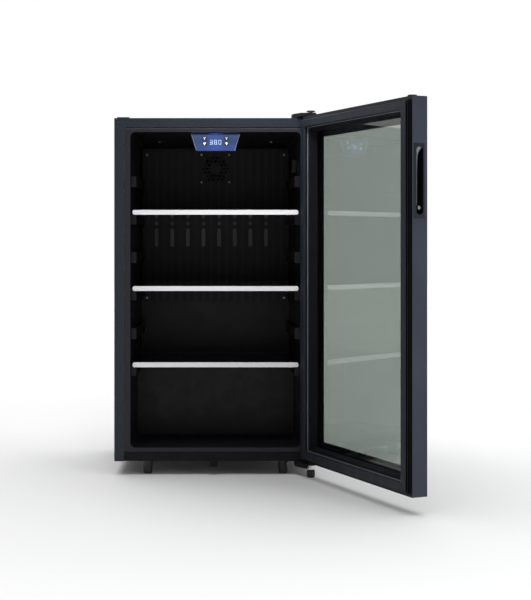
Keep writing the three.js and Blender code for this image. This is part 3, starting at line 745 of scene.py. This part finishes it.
def add_display():
    panel_low = low("display_panel")
    face = panel_low.y
    digits = bmesh.new()
    width, height, pitch = 7.0 * MM, 11.0 * MM, 10.4 * MM
    start = middle("display_panel").x - pitch - width / 2
    base = middle("left_down_key").z - 1.5 * MM
    for i, digit in enumerate(READOUT):
        add_digit(digits, digit, start + i * pitch, base, width, height, face - 0.25 * MM, face - 0.02 * MM)
    piece("display_digits", digits, "digits", "cabinet")
    add_display_edges()
    for key in KEYS:
        centre, front = middle(key), low(key).y
        mark = bmesh.new()
        for shape in KEY_MARKS["up" if "up" in key else "down"]:
            outline = [(centre.x + a * MM, centre.z + b * MM) for a, b in shape]
            add_prism(mark, outline, front - 0.25 * MM, front - 0.02 * MM)
        piece(key + "_mark", mark, "glyph", key + "_body")


# ---------------------------------------------------------------- door
def dress_door():
    dress(["bottom_rail", "hinge_stile", "top_rail", "handle_stile"], "door_frame", 1.0 * MM, 3)
    dress(["inner_trim"], "inner_trim", 0.5 * MM)
    dress(["outer_pane", "inner_pane"], "door_glass", 0.4 * MM)
    dress(["glass_spacer"], "spacer", 0.3 * MM)
    dress(["handle_insert"], "insert", 0.5 * MM, 3)
    dress(["door_end_cap"], "dark_plastic", 0.5 * MM, 3)
    dress(["upper_hinge_bush", "lower_hinge_bush"], "dark_plastic", 0.4 * MM)


SLOT_END_RADIUS = 8.1 * MM
# [mm below the slot's top, width] down the scoop
SCOOP = [(0.5, 6), (1.5, 9.5), (3, 12), (5, 11), (8, 8.4), (11, 6.4), (15, 4.6), (20, 3.3), (27, 2.3),
         (45, 1.5), (118, 1.2)]
BOSS_RISE = 14 * MM  # above the slot's bottom
# (radius, height) in mm
BOSS_PROFILE = [(0, 0), (6.4, 0), (5.6, 17), (4.8, 17.8), (0, 17.8)]


def add_slot_details():
    """The sloped scoop at the top of the finger slot, pale grey as a painted highlight, and the boss with its
    screw near the bottom.
    """
    insert_low, insert_high = shut_box("handle_insert")
    face = insert_low.x
    slot_y, slot_top, slot_bottom = insert_low.y + 10.35 * MM, insert_high.z - 6 * MM, insert_low.z + 7.1 * MM
    end = slot_top - SLOT_END_RADIUS
    scoop = bmesh.new()
    rings = []
    for down, width in SCOOP:
        z = slot_top - down * MM
        half = math.sqrt(SLOT_END_RADIUS ** 2 - max(z - end, 0) ** 2)
        outer_y = slot_y + half
        inner_y = max(outer_y - width * MM, slot_y - half + 0.2 * MM)
        inner_x = face + 0.7 * MM + (outer_y - inner_y) * 0.2
        rings.append([scoop.verts.new(place) for place in (
            (face + 0.7 * MM, outer_y, z), (inner_x, inner_y, z), (face + 20 * MM, inner_y, z),
            (face + 20 * MM, outer_y, z))])
    for above, below in zip(rings, rings[1:]):
        for i in range(4):
            scoop.faces.new([above[i], above[(i + 1) % 4], below[(i + 1) % 4], below[i]])
    scoop.faces.new(rings[0])
    scoop.faces.new(rings[-1][::-1])
    # the scoop carries a painted highlight in its pale finish
    piece("handle_scoop", scoop, "scoop", "door", SWING)
    boss = bmesh.new()
    root = Matrix.Translation((face + 21 * MM, slot_y, slot_bottom + BOSS_RISE)) @ FACING["-x"]
    add_turned(boss, in_mm(BOSS_PROFILE), root)
    piece("handle_boss", boss, "insert", "door", SWING)
    on_boss = [(face + 3.2 * MM, slot_y, slot_bottom + BOSS_RISE)]
    screws("handle_screw", SCREW, "zinc", on_boss, "-x", "door", SWING)


FRIT_WIDTH = 38.2 * MM
# [distance in from the door's edge, y from the cabinet's front], mm, and the finish of the side that follows:
# 0 plain rubber, 1 black as painted shade in the folds and foot, 2 pale as a painted highlight on the lip
GASKET_SECTION = [
    (5.5, -11.7, 1), (15.3, -11.7, 1), (15.3, -16.6, 1), (18.7, -16.6, 1), (18.7, -11.7, 1), (28.2, -11.7, 2),
    (28.4, -10.6, 2), (27.2, -9.8, 1), (24.4, -9.3, 1), (24.0, -8.3, 1), (26.4, -7.6, 2), (27.9, -6.6, 0),
    (28.0, -3.6, 0), (27.4, -1.7, 0), (25.8, -0.75, 0), (22.0, -0.9, 0), (18.0, -1.1, 0), (14.0, -0.9, 0),
    (11.2, -0.75, 0), (9.6, -1.2, 0), (8.9, -2.6, 1), (12.0, -4.0, 1), (12.2, -5.4, 1), (8.6, -6.2, 0),
    (7.9, -6.9, 1), (8.6, -7.6, 1), (11.6, -8.4, 1), (11.6, -9.6, 1), (6.4, -10.3, 1),
]


def add_door_gasket():
    rails_low, rails_high = shut_box("handle_stile")[0], shut_box("hinge_stile")[1]
    section = [(inset * MM, FRONT + y * MM) for inset, y, _ in GASKET_SECTION]
    gasket = bmesh.new()
    add_mitred(gasket, section, rails_low, rails_high, [tag for _, _, tag in GASKET_SECTION])
    # plain rubber, painted shade in the folds, painted highlight on the lip
    finishes_and_painted_light = ("gasket", "gasket_fold", "gasket_lip_painted_highlight")
    piece("door_gasket_bellows", gasket, finishes_and_painted_light, "door", SWING, ["door_gasket"], 0.25 * MM)


def add_glass_details():
    pane_low, pane_high = shut_box("outer_pane")
    inside = pane_high.y
    frit = bmesh.new()
    add_ring_frame(frit, pane_low, pane_high, 0.5 * MM, FRIT_WIDTH, inside + 0.05 * MM, inside + 0.22 * MM)
    piece("outer_pane_frit", frit, "frit", "door", SWING)
    spacer_low, spacer_high = shut_box("glass_spacer")
    wall = 7.5 * MM  # the spacer's width in the pane's plane
    x0, x1 = spacer_low.x + wall, spacer_high.x - wall
    z0, z1 = spacer_low.z + wall, spacer_high.z - wall
    y0, y1 = spacer_high.y - 2.6 * MM, spacer_high.y - 0.6 * MM
    pitch, dash, proud = 14.4 * MM, 8.6 * MM, 0.5 * MM
    dashes = bmesh.new()
    count = int((x1 - x0 - dash) / pitch)
    for i in range(count + 1):
        x = (x0 + x1 - count * pitch - dash) / 2 + i * pitch
        add_box(dashes, (x, y0, z0 + 0.05 * MM), (x + dash, y1, z0 + proud))
        add_box(dashes, (x, y0, z1 - proud), (x + dash, y1, z1 - 0.05 * MM))
    count = int((z1 - z0 - dash) / pitch)
    for i in range(count + 1):
        z = (z0 + z1 - count * pitch - dash) / 2 + i * pitch
        add_box(dashes, (x0 + 0.05 * MM, y0, z), (x0 + proud, y1, z + dash))
    # the vents' reddish tint is a painted reflection
    piece("spacer_vents", dashes, "vent", "door", SWING)


# ---------------------------------------------------------------- feet, hinge pin, compressor
# Profiles are (radius, height) in mm. A foot's stud goes on from the last point to the foot's top.
FOOT_PROFILE = [(0, 0), (9.2, 0), (10.1, 0.9), (10.6, 8), (11.2, 16), (12.0, 25), (12.45, 27.5),
                (12.45, 31.4), (11.6, 32.3), (5.0, 32.3), (4.0, 33.0)]
HINGE_FOOT_PROFILE = [(0, 0), (8.4, 0), (9.2, 0.8), (10, 4), (10, 14), (9.2, 16.8), (8, 18.1), (0, 18.1)]
GROMMET_PROFILE = [(0, -6), (9.6, -6), (10.4, -4.6), (10.4, -2), (8.6, -1), (8.6, 1), (10.4, 2),
                   (10.0, 3.6), (0, 3.6)]
SEAM_PROFILE = [(0, 0), (59.6, 0), (60.2, 0.8), (60.2, 2.6), (59.6, 3.4), (0, 3.4)]
BAND_PROFILE = [(0, -2), (9.2, -2), (9.8, 0), (9.2, 2), (0, 2)]
SEAM_RISE = 62 * MM  # above the compressor's underside
SHELL_STRETCH = 1.2  # the compressor's shell is an oval, this much longer than wide
FOOT_SIDES = 56


def upright(node):
    """The place on the floor under a node's middle, as a matrix."""
    centre = middle(node)
    return Matrix.Translation((centre.x, centre.y, 0))


def add_feet():
    for name in ("front_left_foot", "front_right_foot", "rear_left_foot", "rear_right_foot"):
        top = high(name).z / MM
        foot = bmesh.new()
        stud = [(4.0, top - 0.6), (3.4, top), (0, top)]
        add_turned(foot, in_mm(FOOT_PROFILE + stud), upright(name), FOOT_SIDES)
        piece(name + "_turned", foot, "foot", name + "_body", replaces=[name], width=0.3 * MM)
    foot = bmesh.new()
    add_turned(foot, in_mm(HINGE_FOOT_PROFILE), upright("hinge_foot"), FOOT_SIDES)
    piece("hinge_foot_turned", foot, "foot", "hinge_foot_body", replaces=["hinge_foot"])


def add_upper_pin():
    """The upper hinge's pin, with a hexagonal socket in its head."""
    bottom, top = low("upper_hinge_pin").z, high("upper_hinge_pin").z
    seat = high("upper_hinge_bracket").z + 0.3 * MM
    body = bmesh.new()
    profile = [(0, bottom), (3.2 * MM, bottom), (4 * MM, bottom + 0.8 * MM), (4 * MM, seat),
               (10.4 * MM, seat), (10.4 * MM, top - 2.2 * MM), (9.6 * MM, top - 0.7 * MM), (8.4 * MM, top),
               (0, top)]
    add_turned(body, profile, upright("upper_hinge_pin"), 64)
    socket = bmesh.new()
    recess = [(0, top - 4 * MM), (4.6 * MM, top - 4 * MM), (4.6 * MM, top + MM), (0, top + MM)]
    add_turned(socket, recess, upright("upper_hinge_pin"), 6)
    mesh = carved("hinge_pin_head", body, socket)
    mesh_piece("upper_hinge_pin_turned", mesh, "pin", "cabinet", replaces=["upper_hinge_pin"],
               width=0.25 * MM)


def add_compressor_details():
    """The welded seam round the shell, its rubber feet, and the bands of the filter drier."""
    bottom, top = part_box("compressor")
    shell_x = middle("drip_tray").x  # the tray sits centred over the shell
    shell_y = (bottom.y + top.y) / 2
    seat = Matrix.Translation((shell_x, shell_y, bottom.z + SEAM_RISE))
    seat = seat @ Matrix.Diagonal((SHELL_STRETCH, 1, 1, 1))
    seam = bmesh.new()
    add_turned(seam, in_mm(SEAM_PROFILE), seat, 72)
    piece("compressor_seam", seam, "compressor", "cabinet", width=0.3 * MM)
    for i, (dx, dy) in enumerate(((-80, -36), (80, -36), (-80, 36), (80, 36))):
        place = Matrix.Translation((shell_x + dx * MM, shell_y + dy * MM, bottom.z + 9 * MM))
        grommet = bmesh.new()
        add_turned(grommet, in_mm(GROMMET_PROFILE), place, 40)
        piece(f"compressor_grommet_{i + 1}", grommet, "foot", "cabinet")
    drier, drier_low = middle("filter_drier"), low("filter_drier").z
    for i, rise in enumerate((30, 116)):
        band = bmesh.new()
        place = Matrix.Translation((drier.x, drier.y, drier_low + rise * MM))
        add_turned(band, in_mm(BAND_PROFILE), place, 40)
        piece(f"drier_band_{i + 1}", band, "zinc", "cabinet")


def dress_bay():
    add_compressor_details()
    dress(["compressor"], "compressor", 0.8 * MM, 3)
    dress(["terminal_cover", "cord_gland"], "black_plastic", 1.5 * MM, 3)
    dress(["discharge_pipe", "suction_pipe", "filter_drier"], "copper", 0.2 * MM)
    dress(["drip_tray"], "dark_plastic", 0.7 * MM, 3)


# ---------------------------------------------------------------- stage, light and camera
# painted shade: the paper is greyer near the object
PAPER_NEAR_PAINTED_SHADE = (0.70, 0.70, 0.70)
PAPER_FAR = (0.87, 0.87, 0.87)


def build_stage():
    """Pale paper, a little greyer round the object than far from it: painted shade round the object."""
    bm = bmesh.new()
    bmesh.ops.create_grid(bm, x_segments=1, y_segments=1, size=14)
    mesh = bpy.data.meshes.new("floor")
    bm.to_mesh(mesh)
    bm.free()
    floor = bpy.data.objects.new("floor", mesh)
    scene.collection.objects.link(floor)
    material, tree, shader = new_material("floor_paper")
    distance = tree.nodes.new("ShaderNodeVectorMath")
    distance.operation = "LENGTH"
    tree.links.new(coordinates(tree), distance.inputs[0])
    away = spread(tree, distance.outputs["Value"], 0, 1, 0.6, 4.5)
    tree.links.new(blend_colours(tree, away, PAPER_NEAR_PAINTED_SHADE, PAPER_FAR), shader.inputs["Base Color"])
    tree.links.new(spread(tree, noise(tree, 3), 0.86, 0.94), shader.inputs["Roughness"])
    shader.inputs["Specular IOR Level"].default_value = 0.1
    mesh.materials.append(material)
    floor.location.z = -0.0005


def build_world():
    """A soft surround, white behind the object and dimmer in front of it."""
    world = bpy.data.worlds.new("studio")
    world.use_nodes = True
    scene.world = world
    tree = world.node_tree
    background = tree.nodes["Background"]
    place = tree.nodes.new("ShaderNodeTexCoord")
    separate = tree.nodes.new("ShaderNodeSeparateXYZ")
    tree.links.new(place.outputs["Generated"], separate.inputs["Vector"])
    behind = spread(tree, separate.outputs["Y"], 0.24, 1.0, -0.1, 0.55)
    tree.links.new(behind, background.inputs["Strength"])
    background.inputs["Color"].default_value = (1, 1, 1, 1)


def area_light(name, position, target, size, power, colour=(1, 1, 1)):
    data = bpy.data.lights.new(name, "AREA")
    data.shape = "RECTANGLE"
    data.size, data.size_y = size
    data.energy = power
    data.color = colour
    light = bpy.data.objects.new(name, data)
    scene.collection.objects.link(light)
    light.location = position
    light.rotation_euler = (Vector(target) - Vector(position)).to_track_quat("-Z", "Y").to_euler()
    light.visible_glossy = False  # the panes don't show the lamps' outlines
    light.visible_transmission = False
    return light


def build_lights():
    data = bpy.data.lights.new("overhead", "SUN")
    data.energy = 2.5
    data.angle = math.radians(70)
    sun = bpy.data.objects.new("overhead", data)
    scene.collection.objects.link(sun)
    top = area_light("top_front", (-0.05, FRONT - 0.75, 1.5), (0.04, FRONT, 0.86), (0.35, 0.2), 1.5)
    top.data.spread = math.radians(50)
    area_light("front_left", (-1.5, -2.3, 1.1), (0, 0, 0.45), (0.7, 1.5), 1.5, (0.93, 0.96, 1.0))
    area_light("front_right", (1.9, -2.3, 0.9), (0.2, 0, 0.45), (0.8, 1.6), 16, (0.93, 0.96, 1.0))
    area_light("front_low", (-0.1, -1.9, 0.22), (-0.05, FRONT, 0.2), (1.3, 0.25), 2.2, (1.0, 0.97, 0.97))
    glow = middle("display_panel")
    area_light("display_glow", (glow.x, low("display_panel").y - 2 * MM, glow.z), (glow.x, -2, glow.z + 0.3),
               (0.08, 0.03), 0.03, (0.25, 0.5, 1.0))


CAMERA_DISTANCE = 3.0246  # in front of the cabinet's front plane
CAMERA_HEIGHT = 0.5491
SENSOR = 36.0
LENS = 76.58
SHIFT = (1 / 12, -0.0945)  # parts of the picture's longer side


def build_camera():
    data = bpy.data.cameras.new("camera")
    data.sensor_width = SENSOR
    data.lens = LENS
    data.shift_x, data.shift_y = SHIFT
    camera = bpy.data.objects.new("camera", data)
    scene.collection.objects.link(camera)
    camera.location = (CENTRE_X, FRONT - CAMERA_DISTANCE, CAMERA_HEIGHT)
    camera.rotation_euler = (math.radians(90), 0, 0)
    scene.camera = camera


build_camera()
build_stage()
build_world()
build_lights()
scene.view_settings.view_transform = "Standard"
dress_cabinet()
add_cabinet_screws()
add_top_painted_shadow_and_bead()
add_display()
dress_door()
add_door_gasket()
add_glass_details()
add_slot_details()
dress_bay()
add_feet()
add_upper_pin()
